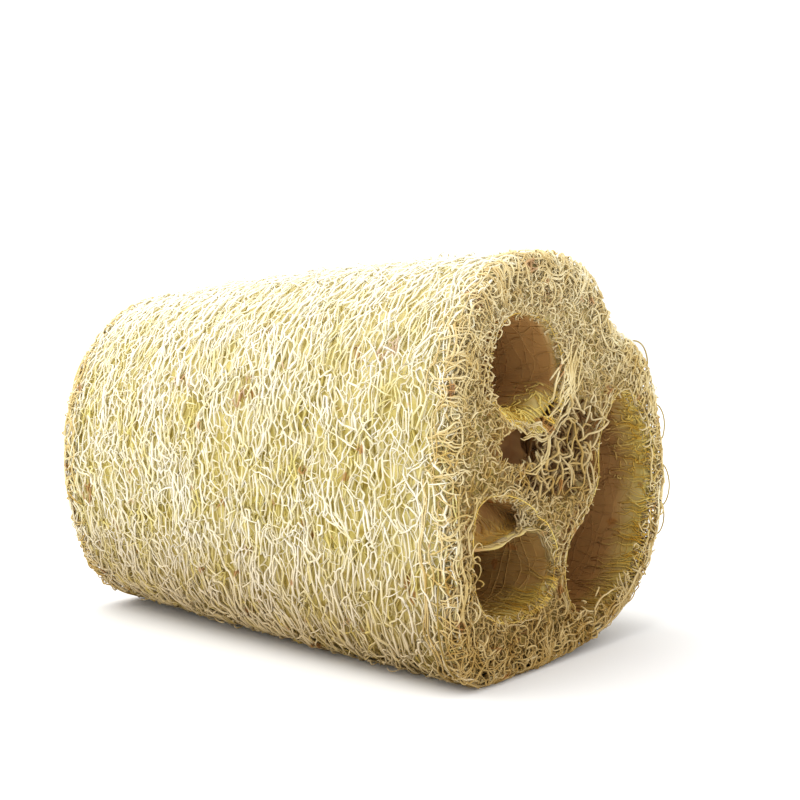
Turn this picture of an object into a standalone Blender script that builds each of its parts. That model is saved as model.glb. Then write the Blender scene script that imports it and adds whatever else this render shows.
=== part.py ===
"""A natural loofah sponge: one length cut from the dried fibre of a luffa gourd, lying on its side.

The body is a lobed length that tapers a little, with three seed chambers running through it from end to end.
A raised net covers its skin, both cut ends and the chamber walls. The surface is laid out as the cells of
that net, and each cell is sunk towards its middle, so that the edges between the cells stand out as strands.

Units are metres. +X runs along the length towards the wide cut end, and +Z is up. The origin is the middle of
the underside of the body's box.
"""

import math
import random
from functools import lru_cache, partial

import bmesh
import bpy
from mathutils import Vector, geometry

NAME = "loofah_sponge"
MM = 0.001

# The body
LENGTH = 110 * MM
NEAR_RADIUS = 37.5 * MM
FAR_RADIUS = 35.0 * MM
BELLY = 1.0 * MM
AXIS_Y = 0.65 * MM
FLATTENING = 0.9 * MM
NEAR_CUT_LEAN = -0.07
FAR_LOBE_SHARE = 0.3

# Swellings of the outline at the wide end: height, angle from +Y towards +Z, and spread in degrees.
# The three lobes lie outside the three chambers, and the last entry is the crease between two of them.
LOBES = (
    (5.5 * MM, 130, 31),
    (10.5 * MM, 227.5, 23),
    (5.2 * MM, 331, 33),
    (-6.0 * MM, 53, 16.5),
)

# Chamber outlines at the wide end, as (y, z) in millimetres on a smooth closed curve
CHAMBERS = {
    "upper": ((-12.6, 65.5), (-19.5, 64.2), (-23.4, 57.5), (-21.8, 50.3), (-15.2, 46.2),
              (-7.0, 45.0), (-1.2, 48.6), (0.1, 56.0), (-4.6, 63.4)),
    "lower": ((-20.6, 33.2), (-27.6, 32.0), (-29.0, 24.0), (-26.6, 15.0), (-19.6, 11.4),
              (-11.4, 11.4), (-4.6, 13.6), (-1.8, 19.0), (-5.0, 25.6), (-12.4, 30.8)),
    "side": ((14.4, 41.5), (13.8, 33.0), (9.2, 27.2), (3.2, 22.4), (1.8, 15.4), (5.4, 9.2), (12.0, 6.6),
             (20.4, 7.9), (28.0, 12.6), (33.8, 21.0), (36.0, 30.4), (34.6, 39.6), (29.6, 46.8), (21.6, 49.6)),
}
CHAMBER_NARROWING = 0.1

# The net: cell sizes in millimetres, round the girth and along the length, and how many cells meet the rim of
# a cut end, or how wide they are there
SKIN_CELL = (15.0, 4.8)
WALL_CELL = (11.0, 18.0)
END_CELL = 5.0
SKIN_RIM_CELLS = 36
MOUTH_CELL = 7.0

# The middles of an end's outermost cells lie this far inside its rims. Any other middle wanders by a share of
# its spacing, and keeps clear of those outermost ones by a share of a cell.
END_RIM_INSET = 1.1 * MM
WANDER = 0.33
CLEARANCE = 0.6

# Strands shorter than this are closed up, and the net's joints then move by about the roughness
SHORTEST_STRAND = 0.5 * MM
ROUGHNESS = 0.2 * MM
SEAM_GAP = 0.001 * MM

# How a cell is sunk: the size of its floor as a share of the cell, round the girth or across, then along the
# length or up, and its depth as a share of the cell's area over half its outline. A chamber wall's cell has
# no floor, and its depth is a share of its edges' length.
SINK = {
    "skin": (0.84, 0.66, 0.44),
    "skin rim": (0.74, 0.6, 0.22),
    "end": (0.66, 0.66, 0.8),
    "end rim": (0.55, 0.55, 0.38),
    "core": (0.74, 0.74, 1.7),
}
WALL_SINK = 0.1
CORE_MIDDLE = (0.0, 41.0)
CORE_REACH = 13.5

# The body rests on the flat net cells nearest to these places, as (x, y) in millimetres, and the rest of its
# underside is lifted clear of the ground
REST_PLACES = ((39.0, -19.0), (24.0, 3.0), (-43.0, -2.0))
REST_LIFT = 0.5 * MM

FIBRE_COLOUR = (0.76, 0.62, 0.33, 1.0)
FIBRE_ROUGHNESS = 0.82
SHARP_EDGE = 25
SEED = 8

KINDS = ("skin", "skin rim", "end", "end rim", "core", "wall")
GIRTH_STEPS = 120
PLANE_MERGE = 1e-7
SWEEP_SLACK = 1e-6


def bump(angle, middle, spread):
    """Return a smooth swell, 1 at its middle and falling to 0, that wraps round the girth."""
    turn = (angle - math.radians(middle) + math.pi) % math.tau - math.pi
    return math.exp(-((turn / math.radians(spread)) ** 2))


def skin_radius(angle, station):
    """Return the body's radius at an angle round its axis. station is 0 at the far end and 1 at the near."""
    base = FAR_RADIUS + (NEAR_RADIUS - FAR_RADIUS) * station + BELLY * 4 * station * (1 - station)
    strength = FAR_LOBE_SHARE + (1 - FAR_LOBE_SHARE) * station
    return base + strength * sum(height * bump(angle, middle, spread) for height, middle, spread in LOBES)


@lru_cache(maxsize=None)
def axis_height(station):
    """Return the axis's height that leaves a section's lowest part pressed flat on the ground."""
    angles = [math.tau * k / GIRTH_STEPS for k in range(GIRTH_STEPS)]
    return -min(skin_radius(a, station) * math.sin(a) for a in angles) - FLATTENING


def along(station, y):
    """Return x at a station: the near cut leans a little, the far one is square to the length."""
    return LENGTH * (station - 0.5) + NEAR_CUT_LEAN * station ** 4 * y


def skin_point(turn, station):
    """Return a point of the skin, with turn in whole turns round the axis."""
    angle = math.tau * turn
    radius = skin_radius(angle, station)
    y = AXIS_Y + radius * math.cos(angle)
    z = max(axis_height(station) + radius * math.sin(angle), 0.0)
    return Vector((along(station, y), y, z))


def closed_curve(points, turn):
    """Return the point at a turn of the smooth closed curve through the given points."""
    count = len(points)
    place = (turn % 1.0) * count
    first = int(place) % count
    t = place - int(place)
    a, b, c, d = (Vector(points[(first + k) % count]) for k in (-1, 0, 1, 2))
    bend = (2 * a - 5 * b + 4 * c - d) * t ** 2 + (3 * b - a - 3 * c + d) * t ** 3
    return b + 0.5 * ((c - a) * t + bend)


def chamber_point(name, turn, station):
    """Return a point of a chamber's wall. The chamber keeps its place about the axis as the body tapers."""
    y, z = closed_curve(CHAMBERS[name], turn) * MM
    scale = skin_radius(0, station) / skin_radius(0, 1) * (1 - CHAMBER_NARROWING * (1 - station))
    y = AXIS_Y + (y - AXIS_Y) * scale
    z = axis_height(station) + (z - axis_height(1)) * scale
    return Vector((along(station, y), y, z))


def curve_length(point_at):
    """Return the length of the closed curve point_at(turn)."""
    points = [point_at(k / GIRTH_STEPS) for k in range(GIRTH_STEPS)]
    return sum((points[k] - points[k - 1]).length for k in range(GIRTH_STEPS))


def triangles_of(points, rims):
    """Return the triangles, as index triples, that fill the plane points, with the rims' edges kept."""
    edges = [(rim[k - 1], rim[k]) for rim in rims for k in range(len(rim))]
    laid = geometry.delaunay_2d_cdt(points, edges, [], 0, PLANE_MERGE)
    original = [sources[0] for sources in laid[3]]
    return [[original[corner] for corner in face] for face in laid[2]]


def strip_triangles(rim_cells, columns, rows, width, height, draw):
    """Lay out cell middles on an endless strip, and return its triangles as three (key, place) corners."""
    middles = {}
    for edge, y in (("far", 0.5), ("near", rows - 0.5)):
        for k in range(rim_cells):
            middles[(edge, k)] = Vector((width * (k + 0.5) / rim_cells, height * y / rows))
    for row in range(1, rows - 1):
        for column in range(columns):
            x = (column + 0.5 * (row % 2) + WANDER * draw.uniform(-1, 1)) / columns
            y = (row + 0.5 + WANDER * draw.uniform(-1, 1)) / rows
            middles[(row, column)] = Vector((width * x, height * y))
    keys = [(key, lap) for lap in (-1, 0, 1) for key in middles]
    points = [middles[key] + Vector((lap * width, 0)) for key, lap in keys]
    for triple in triangles_of(points, []):
        if 0 <= sum(points[k].x for k in triple) / 3 < width:
            yield [(keys[k][0], points[k]) for k in triple]


def inside(point, outline):
    """Return whether a plane point lies inside a closed outline."""
    crossings = 0
    for a, b in zip(outline, outline[1:] + outline[:1]):
        if (a.y > point.y) != (b.y > point.y):
            crossings += point.x < a.x + (point.y - a.y) / (b.y - a.y) * (b.x - a.x)
    return crossings % 2 == 1


def distance_to(point, outline):
    """Return how far a plane point lies from a closed outline."""
    gaps = []
    for a, b in zip(outline, outline[1:] + outline[:1]):
        share = (point - a).dot(b - a) / (b - a).length_squared
        gaps.append((a.lerp(b, min(max(share, 0.0), 1.0)) - point).length)
    return min(gaps)


def inset_outline(outline, inset):
    """Return the middles of a closed outline's edges, moved to its left side by the inset."""
    middles = []
    for a, b in zip(outline, outline[1:] + outline[:1]):
        middles.append((a + b) / 2 + (b - a).orthogonal().normalized() * inset)
    return middles


def end_triangles(rims, draw):
    """Lay out cell middles on a cut end, and return its triangles as three (key, place) corners.

    rims maps a name to the plane loop of the outermost cells' middles, first the skin's.
    """
    cell = END_CELL * MM
    keys = [(name, k) for name, loop in rims.items() for k in range(len(loop))]
    points = [rims[name][k] for name, k in keys]
    loops = [[keys.index((name, k)) for k in range(len(loop))] for name, loop in rims.items()]
    skin, *holes = rims.values()

    def on_face(point):
        return inside(point, skin) and not any(inside(point, hole) for hole in holes)

    reach = int(NEAR_RADIUS * 1.5 / cell)
    for row in range(-reach, reach + 1):
        for column in range(-reach, reach + 1):
            x = (column + 0.5 * (row % 2) + WANDER * draw.uniform(-1, 1)) * cell
            y = (row + WANDER * draw.uniform(-1, 1)) * cell * math.sqrt(0.75)
            point = Vector((AXIS_Y + x, axis_height(1) + y))
            if on_face(point) and min(distance_to(point, loop) for loop in rims.values()) > CLEARANCE * cell:
                keys.append((row, column))
                points.append(point)
    for triple in triangles_of(points, loops):
        if on_face(sum((points[k] for k in triple), Vector((0, 0))) / 3):
            yield [(keys[k], points[k]) for k in triple]


def sweep(start, offset):
    """Return the counterclockwise angle from start to offset in the plane, in 0 to a whole turn."""
    return (math.atan2(start.cross(offset), start.dot(offset)) + SWEEP_SLACK) % math.tau


def add_cells(bm, kinds, triangles, place, rim_point, kind_of):
    """Add one face for each cell, whose corners are the middles of the triangles round it.

    A cell on a rim also has the rim's points at both ends of its stretch, from rim_point(key, next_key).
    """
    rings = {}
    sides = {}
    for triple in triangles:
        middle = sum((point for _, point in triple), Vector((0, 0))) / 3
        for key, point in triple:
            rings.setdefault(key, []).append((middle - point, place(middle)))
        for (key_a, a), (key_b, b) in zip(triple, triple[1:] + triple[:1]):
            sides.setdefault(frozenset((key_a, key_b)), []).append((key_a, key_b, b - a))
    starts = {}
    for uses in sides.values():
        if len(uses) == 1:
            key_a, key_b, step = uses[0]
            rings[key_a].append((step, rim_point(key_a, key_b)))
            rings[key_b].append((-step, rim_point(key_a, key_b)))
            starts[key_a] = step
    for key, ring in rings.items():
        start = starts.get(key, ring[0][0])
        ring.sort(key=lambda item: sweep(start, item[0]))
        face = bm.faces.new([bm.verts.new(corner) for _, corner in ring])
        face[kinds] = KINDS.index(kind_of(key in starts, face.calc_center_median()))


def shared_turn(index_a, index_b, count):
    """Return the turn of the rim point between two neighbouring cells of a rim."""
    return (max(index_a, index_b) if abs(index_a - index_b) == 1 else 0) / count


def add_strip(bm, kinds, surface, rim_cells, cell, kind, draw):
    """Add the net of a surface(turn, station) that runs round the length, with cells of the given size."""
    girth = curve_length(lambda turn: surface(turn, 0.5))
    columns = round(girth / (cell[0] * MM))
    rows = round(LENGTH / (cell[1] * MM))
    width = columns * min(cell)
    height = rows * min(cell)
    triangles = strip_triangles(rim_cells, columns, rows, width, height, draw)

    def rim_point(key_a, key_b):
        return surface(shared_turn(key_a[1], key_b[1], rim_cells), 1 if key_a[0] == "near" else 0)

    def kind_of(on_rim, point):
        return f"{kind} rim" if on_rim and kind == "skin" else kind

    add_cells(bm, kinds, triangles, lambda p: surface(p.x / width, p.y / height), rim_point, kind_of)


def mouth_cells(name):
    """Return how many net cells meet a chamber's mouth."""
    return round(curve_length(lambda turn: chamber_point(name, turn, 1)) / (MOUTH_CELL * MM))


def add_end(bm, kinds, station, draw):
    """Add the foam-like net of one cut end."""
    outlines = {"skin": [skin_point(k / SKIN_RIM_CELLS, station).yz for k in range(SKIN_RIM_CELLS)]}
    for name in CHAMBERS:
        count = mouth_cells(name)
        outlines[name] = [chamber_point(name, k / count, station).yz for k in range(count)]
    rims = {name: inset_outline(outline, -END_RIM_INSET) for name, outline in outlines.items()}
    rims["skin"] = inset_outline(outlines["skin"], END_RIM_INSET)
    core = Vector(CORE_MIDDLE) * MM

    def on_plane(point):
        return Vector((along(station, point.x), point.x, point.y))

    def rim_point(key_a, key_b):
        outline = outlines[key_a[0]]
        return on_plane(outline[round(shared_turn(key_a[1], key_b[1], len(outline)) * len(outline))])

    def kind_of(on_rim, point):
        if on_rim:
            return "end rim"
        return "core" if (point.yz - core).length < CORE_REACH * MM else "end"

    add_cells(bm, kinds, end_triangles(rims, draw), on_plane, rim_point, kind_of)


def roughen(bm, draw):
    """Move the net's joints a little at random, except those near the ground."""
    for vert in bm.verts:
        shift = Vector([draw.gauss(0, 1) for _ in range(3)]) * ROUGHNESS
        if vert.co.z > 4 * ROUGHNESS:
            vert.co += shift


def rest_cells(bm):
    """Return the three cells of the flat underside that bear the weight, which stay plain faces."""
    flat = [face for face in bm.faces if all(vert.co.z == 0 for vert in face.verts)]
    places = [Vector((x, y, 0)) * MM for x, y in REST_PLACES]
    return [min(flat, key=lambda face: (face.calc_center_median() - place).length) for place in places]


def lift_underside(bm, rests):
    """Lift the lowest joints of the net, except the corners of the cells that bear the weight."""
    bearing = {vert for face in rests for vert in face.verts}
    for vert in bm.verts:
        if vert not in bearing:
            vert.co.z = max(vert.co.z, REST_LIFT)


def sink_cells(bm, kinds, rests):
    """Sink every cell's floor but those of rests, so that the edges between cells stand out as strands."""
    walls = [face for face in bm.faces if face[kinds] == KINDS.index("wall")]
    bmesh.ops.poke(bm, faces=walls, offset=-WALL_SINK, use_relative_offset=True, center_mode="MEAN")
    for kind, (across, up, share) in SINK.items():
        cells = [face for face in bm.faces if face[kinds] == KINDS.index(kind) and face not in rests]
        bmesh.ops.inset_individual(bm, faces=cells, thickness=0)
        for face in cells:
            middle = face.calc_center_median()
            depth = share * 2 * face.calc_area() / face.calc_perimeter()
            normal = face.normal.copy()
            lengthwise = Vector((1, 0, 0)) if kind.startswith("skin") else Vector((0, 0, 1))
            for vert in face.verts:
                offset = vert.co - middle
                rise = lengthwise * offset.dot(lengthwise)
                vert.co = middle + (offset - rise) * across + rise * up - normal * depth


def centre(bm):
    """Move the body so that the origin is the middle of the underside of its box."""
    low, high = (Vector([pick(v.co[k] for v in bm.verts) for k in range(3)]) for pick in (min, max))
    middle = (low + high) / 2
    bmesh.ops.translate(bm, verts=bm.verts, vec=(-middle.x, -middle.y, -low.z))


def fibre_material():
    """Return the dry straw colour of the fibre."""
    material = bpy.data.materials.new("dry_loofah_fibre")
    material.use_nodes = True
    shader = material.node_tree.nodes["Principled BSDF"]
    shader.inputs["Base Color"].default_value = FIBRE_COLOUR
    shader.inputs["Roughness"].default_value = FIBRE_ROUGHNESS
    shader.inputs["Metallic"].default_value = 0.0
    return material


def build():
    """Make the sponge in a collection of its own."""
    for leftover in list(bpy.data.objects):
        bpy.data.objects.remove(leftover)
    collection = bpy.data.collections.new("natural_loofah_sponge")
    bpy.context.scene.collection.children.link(collection)

    draw = random.Random(SEED)
    bm = bmesh.new()
    kinds = bm.faces.layers.int.new("kind")
    add_strip(bm, kinds, skin_point, SKIN_RIM_CELLS, SKIN_CELL, "skin", draw)
    for name in CHAMBERS:
        add_strip(bm, kinds, partial(chamber_point, name), mouth_cells(name), WALL_CELL, "wall", draw)
    for station in (0, 1):
        add_end(bm, kinds, station, draw)
    bmesh.ops.remove_doubles(bm, verts=bm.verts, dist=SEAM_GAP)
    bmesh.ops.collapse(bm, edges=[edge for edge in bm.edges if edge.calc_length() < SHORTEST_STRAND])
    roughen(bm, draw)
    bmesh.ops.recalc_face_normals(bm, faces=bm.faces)
    rests = rest_cells(bm)
    lift_underside(bm, rests)
    sink_cells(bm, kinds, rests)
    bm.faces.layers.int.remove(kinds)
    centre(bm)

    mesh = bpy.data.meshes.new(NAME)
    bm.to_mesh(mesh)
    bm.free()
    mesh.shade_smooth()
    mesh.set_sharp_from_angle(angle=math.radians(SHARP_EDGE))
    mesh.materials.append(fibre_material())
    collection.objects.link(bpy.data.objects.new(NAME, mesh))


build()
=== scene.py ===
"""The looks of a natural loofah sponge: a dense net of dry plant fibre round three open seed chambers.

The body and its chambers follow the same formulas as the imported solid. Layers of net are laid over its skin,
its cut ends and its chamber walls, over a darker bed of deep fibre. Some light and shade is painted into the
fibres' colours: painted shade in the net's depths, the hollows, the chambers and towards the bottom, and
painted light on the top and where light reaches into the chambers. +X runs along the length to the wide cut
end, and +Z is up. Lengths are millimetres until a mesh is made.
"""

from functools import partial
from math import ceil, pi, radians, sqrt, tan, tau

import bmesh
import bpy
import numpy as np
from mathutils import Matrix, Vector, geometry
from numpy.random import default_rng


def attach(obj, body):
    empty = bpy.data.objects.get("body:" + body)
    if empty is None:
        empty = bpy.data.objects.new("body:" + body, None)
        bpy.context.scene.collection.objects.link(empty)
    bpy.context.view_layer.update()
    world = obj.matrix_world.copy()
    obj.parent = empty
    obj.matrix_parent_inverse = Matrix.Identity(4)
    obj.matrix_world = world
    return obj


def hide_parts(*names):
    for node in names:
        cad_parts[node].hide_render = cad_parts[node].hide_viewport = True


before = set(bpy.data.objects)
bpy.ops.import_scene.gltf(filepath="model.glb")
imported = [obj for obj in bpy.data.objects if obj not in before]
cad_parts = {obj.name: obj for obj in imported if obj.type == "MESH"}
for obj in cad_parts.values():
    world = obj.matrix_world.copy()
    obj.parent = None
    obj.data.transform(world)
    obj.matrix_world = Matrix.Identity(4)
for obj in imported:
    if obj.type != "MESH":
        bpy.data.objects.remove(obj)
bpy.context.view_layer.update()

NODE = "loofah_sponge"
BODY = "root"
MM = 0.001  # metres in a millimetre

# The body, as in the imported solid
LENGTH = 110
NEAR_RADIUS = 37.5
FAR_RADIUS = 35.0
BELLY = 1.0
AXIS_Y = 0.65
FLATTENING = 0.9
NEAR_CUT_LEAN = -0.07
FAR_LOBE_SHARE = 0.3
CENTRING = np.array((-1.13, -1.72, 0.0))
LOBES = (
    (5.5, 130, 31),
    (10.5, 227.5, 23),
    (5.2, 331, 33),
    (-6.0, 53, 16.5),
)
CHAMBERS = {
    "upper": ((-12.6, 65.5), (-19.5, 64.2), (-23.4, 57.5), (-21.8, 50.3), (-15.2, 46.2),
              (-7.0, 45.0), (-1.2, 48.6), (0.1, 56.0), (-4.6, 63.4)),
    "lower": ((-20.6, 33.2), (-27.6, 32.0), (-29.0, 24.0), (-26.6, 15.0), (-19.6, 11.4),
              (-11.4, 11.4), (-4.6, 13.6), (-1.8, 19.0), (-5.0, 25.6), (-12.4, 30.8)),
    "side": ((14.4, 41.5), (13.8, 33.0), (9.2, 27.2), (3.2, 22.4), (1.8, 15.4), (5.4, 9.2), (12.0, 6.6),
             (20.4, 7.9), (28.0, 12.6), (33.8, 21.0), (36.0, 30.4), (34.6, 39.6), (29.6, 46.8), (21.6, 49.6)),
}
CHAMBER_NARROWING = 0.1

# The rounding of the rims of the cut ends and of the chambers' mouths
RIM_ROUNDING = 2.4
MOUTH_ROUNDING = 1.2

# The upper chamber's floor rises behind its mouths: how high, over which lengths it rises and falls, and over
# which height of the wall it fades, from which share of that height
SILL_HEIGHT = 3.6
SILL_RISE = 6.5
SILL_FALL = (14, 34)
SILL_FADE = 8
SILL_FADE_FROM = 1.35

# A small blind pocket in the near end, between the upper and the lower chamber, as (y, z)
POCKET = np.array(((-21.2, 42.2), (-18.8, 45.0), (-14.0, 45.2), (-9.0, 44.0), (-6.6, 41.6), (-8.6, 39.4),
                   (-14.0, 38.8), (-19.6, 39.6)))
POCKET_DEPTH = 9.0
POCKET_RIM = 1.2

# The web between the chambers: its middle and reach on a cut end, and the depth of its hollow
CORE_MIDDLE = np.array((0.5, 41.0))
CORE_REACH = np.array((15.0, 9.5))
CORE_DEPTH = 8.0

# The camera
CAMERA_PLACE = CENTRING + (215.38, -229.94, 68.64)
CAMERA_TARGET = CENTRING + (13.8, 0.0, 47.87)
CAMERA_FOV = 30

CURVE_STEPS = 360
STATIONS = np.linspace(0, 1, 41)
GIRTH_ANGLES = np.linspace(0, tau, 240, endpoint=False)


# Shapes of the body

def bump(angle, middle, spread):
    """Return a smooth swell, 1 at its middle, that wraps round the girth."""
    turn = (angle - radians(middle) + pi) % tau - pi
    return np.exp(-((turn / radians(spread)) ** 2))


def skin_radius(angle, station):
    """Return the body's radius at an angle. station is 0 at the far end and 1 at the near one."""
    base = FAR_RADIUS + (NEAR_RADIUS - FAR_RADIUS) * station + BELLY * 4 * station * (1 - station)
    strength = FAR_LOBE_SHARE + (1 - FAR_LOBE_SHARE) * station
    return base + strength * sum(height * bump(angle, middle, spread) for height, middle, spread in LOBES)


AXIS_HEIGHTS = [-(skin_radius(GIRTH_ANGLES, s) * np.sin(GIRTH_ANGLES)).min() - FLATTENING for s in STATIONS]


def axis_height(station):
    """Return the height of the body's axis over the ground."""
    return np.interp(station, STATIONS, AXIS_HEIGHTS)


def join(*parts):
    """Return values side by side, as the columns of one array."""
    return np.stack(np.broadcast_arrays(*parts), axis=-1)


def body_points(station, y, z, shift=0.0):
    """Return points at (y, z) of a station. The near cut leans a little, and the far one is square."""
    x = LENGTH * (station - 0.5) + NEAR_CUT_LEAN * np.maximum(station, 0) ** 4 * y + shift
    return join(x, y, z) + CENTRING


def rounding(inset, radius):
    """Return how far a rim's rounding pulls a surface in, at a distance from the rim."""
    reach = np.clip(1 - inset / radius, 0, 1)
    return radius * (1 - np.sqrt(1 - reach ** 2))


def smooth(values):
    """Return a smooth step from 0 to 1 as values go from 0 to 1."""
    values = np.clip(values, 0, 1)
    return values * values * (3 - 2 * values)


def skin_outline(turns, station, depth=0.0):
    """Return the (y, z) points of the body's outline at a station, at a depth under the skin."""
    angle = tau * turns
    radius = skin_radius(angle, station) - depth
    height = axis_height(station) + radius * np.sin(angle)
    return join(AXIS_Y + radius * np.cos(angle), np.maximum(height, depth))


def skin_surface(across, along, depth):
    """Return points at a depth under the skin. across runs round the girth, and along from the far end."""
    station = along / LENGTH
    depth = depth + rounding(np.minimum(along, LENGTH - along), RIM_ROUNDING)
    return body_points(station, *skin_outline(across / SKIN_GIRTH, station, depth).T)


def spline(a, b, c, d, t):
    """Return places from b to c on the smooth curve through four points, as t goes from 0 to 1."""
    return b + 0.5 * ((c - a) * t + (2 * a - 5 * b + 4 * c - d) * t ** 2 + (3 * b - a - 3 * c + d) * t ** 3)


def closed_curve(points, count):
    """Return count points of the smooth closed curve through the given ones."""
    points = np.array(points, float)
    place = np.arange(count) / count * len(points)
    first = place.astype(int)
    return spline(*(points[(first + k) % len(points)] for k in (-1, 0, 1, 2)), (place - first)[:, None])


def open_curve(points, share):
    """Return (y, z) at shares of the way along a row of points."""
    place = share * (len(points) - 1)
    return join(*(np.interp(place, np.arange(len(points)), column) for column in np.transpose(points)))


def unit(vectors):
    """Return the vectors at length 1."""
    return vectors / (np.linalg.norm(vectors, axis=-1, keepdims=True) + 1e-15)


def outward(outline):
    """Return the unit normals that point out of a closed outline."""
    step = np.roll(outline, -1, axis=0) - np.roll(outline, 1, axis=0)
    twice_area = np.cross(outline, np.roll(outline, -1, axis=0)).sum()
    return unit(join(step[:, 1], -step[:, 0])) * np.sign(twice_area)


def girth_of(outline):
    """Return the length of a closed outline."""
    return np.linalg.norm(outline - np.roll(outline, 1, axis=0), axis=1).sum()


SKIN_GIRTH = girth_of(skin_outline(np.arange(CURVE_STEPS) / CURVE_STEPS, 0.5))
OUTLINES = {name: closed_curve(points, CURVE_STEPS) for name, points in CHAMBERS.items()}
OUTWARD = {name: outward(outline) for name, outline in OUTLINES.items()}
GIRTHS = {name: girth_of(outline) for name, outline in OUTLINES.items()}


def round_curve(values, turn):
    """Return rows read between the samples of a closed curve."""
    place = (turn % 1.0) * len(values)
    closed = np.append(values, values[:1], axis=0)
    return join(*(np.interp(place, np.arange(len(closed)), column) for column in closed.T))


def tapered(y, z, station):
    """Return (y, z) of the near end as the body's taper puts them at a station."""
    scale = skin_radius(0.0, station) / skin_radius(0.0, 1.0) * (1 - CHAMBER_NARROWING * (1 - station))
    return AXIS_Y + (y - AXIS_Y) * scale, axis_height(station) + (z - axis_height(1)) * scale


def chamber_surface(name, across, along, depth):
    """Return points at a depth behind a chamber's wall."""
    turn = across / GIRTHS[name]
    behind = np.minimum(along, LENGTH - along)
    depth = depth + rounding(behind, MOUTH_ROUNDING)
    y, z = (round_curve(OUTLINES[name], turn) + depth[:, None] * round_curve(OUTWARD[name], turn)).T
    if name == "upper":
        low = smooth(SILL_FADE_FROM - (z - OUTLINES[name][:, 1].min()) / SILL_FADE)
        fall = smooth((behind - SILL_FALL[0]) / (SILL_FALL[1] - SILL_FALL[0]))
        z = z + SILL_HEIGHT * low * smooth(behind / SILL_RISE) * (1 - fall)
    station = along / LENGTH
    return body_points(station, *tapered(y, z, station))


def end_surface(end, y, z, depth):
    """Return points at a depth behind a cut end."""
    plane = join(y, z)
    depth = depth + rounding(gap_to(plane, SKIN_ENDS[end]), RIM_ROUNDING)
    for outline in CHAMBER_ENDS[end].values():
        depth = depth + rounding(gap_to(plane, outline), MOUTH_ROUNDING)
    return body_points(end, y, z, depth * (1 - 2 * end))


def rim_surface(end, across, inset, depth):
    """Return points at a depth under the rounded rim of a cut end.

    inset is measured over the rim from its middle: below 0 towards the skin, above 0 onto the end.
    """
    half = pi / 4 * RIM_ROUNDING
    swing = np.clip((inset + half) / RIM_ROUNDING, 0, pi / 2)
    from_end = RIM_ROUNDING * (1 - np.sin(swing)) + np.maximum(-inset - half, 0)
    from_skin = RIM_ROUNDING * (1 - np.cos(swing)) + np.maximum(inset - half, 0) + depth * np.cos(swing)
    place = 1 - from_end / LENGTH if end else from_end / LENGTH
    turn = across / SKIN_GIRTH
    step = unit(skin_outline(turn + 1e-4, place) - skin_outline(turn - 1e-4, place))
    plane = skin_outline(turn, place) + join(-step[:, 1], step[:, 0]) * from_skin[:, None]
    return body_points(place, *plane.T, (1 - 2 * end) * depth * np.sin(swing))


# Plane geometry

def gap_to(points, outline):
    """Return each point's distance from an outline."""
    nearest = np.full(len(points), np.inf)
    for a, b in zip(outline, np.roll(outline, -1, axis=0)):
        share = np.clip((points - a) @ (b - a) / ((b - a) @ (b - a)), 0, 1)
        nearest = np.minimum(nearest, np.linalg.norm(a + share[:, None] * (b - a) - points, axis=1))
    return nearest


def inside(points, outline):
    """Return whether each point lies inside an outline."""
    crossed = np.zeros(len(points), bool)
    for a, b in zip(outline, np.roll(outline, -1, axis=0)):
        if a[1] != b[1]:
            spans = (a[1] > points[:, 1]) != (b[1] > points[:, 1])
            crossed ^= spans & (points[:, 0] < a[0] + (points[:, 1] - a[1]) / (b[1] - a[1]) * (b[0] - a[0]))
    return crossed


def between(points, skin, holes, margin=0.0):
    """Return whether points lie inside one outline and outside the others, by more than the margin."""
    held = inside(points, skin) & (gap_to(points, skin) > margin)
    for hole in holes:
        held &= ~inside(points, hole) & (gap_to(points, hole) > margin)
    return held


# The outlines on the cut ends, 0 for the far one and 1 for the near, wide one
SKIN_ENDS = {end: skin_outline(np.arange(72) / 72, end) for end in (0, 1)}
CHAMBER_ENDS = {
    end: {name: join(*tapered(*outline[::5].T, end)) for name, outline in OUTLINES.items()}
    for end in (0, 1)
}


def on_end(points, end, margin):
    """Return whether plane points lie on a cut end, off the pocket and beyond the margin from its rims."""
    held = between(points, SKIN_ENDS[end], CHAMBER_ENDS[end].values(), margin)
    return held & ~inside(points, POCKET) if end else held


def in_core(points):
    """Return 1 in the web between the chambers, falling to 0 round it."""
    return np.exp(-((((points - CORE_MIDDLE) / CORE_REACH) ** 2).sum(axis=-1)) ** 2)


# Nets and strands

# How far the middles of a net's cells wander, as a share of a cell
WANDER = 0.46


def ripple(points, size, seed, waves=7):
    """Return smooth noise of about -1 to 1 at the points, with swells of about the given size."""
    draw = default_rng(seed)
    ways = draw.normal(size=(waves, points.shape[-1]))
    ways *= (tau / size * draw.uniform(0.6, 1.5, waves) / np.linalg.norm(ways, axis=1))[:, None]
    return np.tanh(np.sin(points @ ways.T + draw.uniform(0, tau, waves)).sum(axis=-1) * sqrt(2 / waves))


def drift(points, size, seed, next_seed=1):
    """Return smooth noise in two directions at the points."""
    return join(ripple(points, size, seed), ripple(points, size, seed + next_seed))


def brick_points(columns, rows, draw, wraps):
    """Return jittered points in staggered rows, with a margin past each border."""
    lap = 4 if wraps else 0
    row, column = np.mgrid[-2:rows + 2, 0:columns]
    x = column + 0.5 * (row % 2) + draw.uniform(-WANDER, WANDER, row.shape)
    y = row + draw.uniform(-WANDER, WANDER, row.shape)
    points = join(x, y).reshape(-1, 2)
    before = points[points[:, 0] > columns - lap] - (columns, 0)
    after = points[points[:, 0] < lap] + (columns, 0)
    return np.concatenate((points, before, after))


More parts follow.
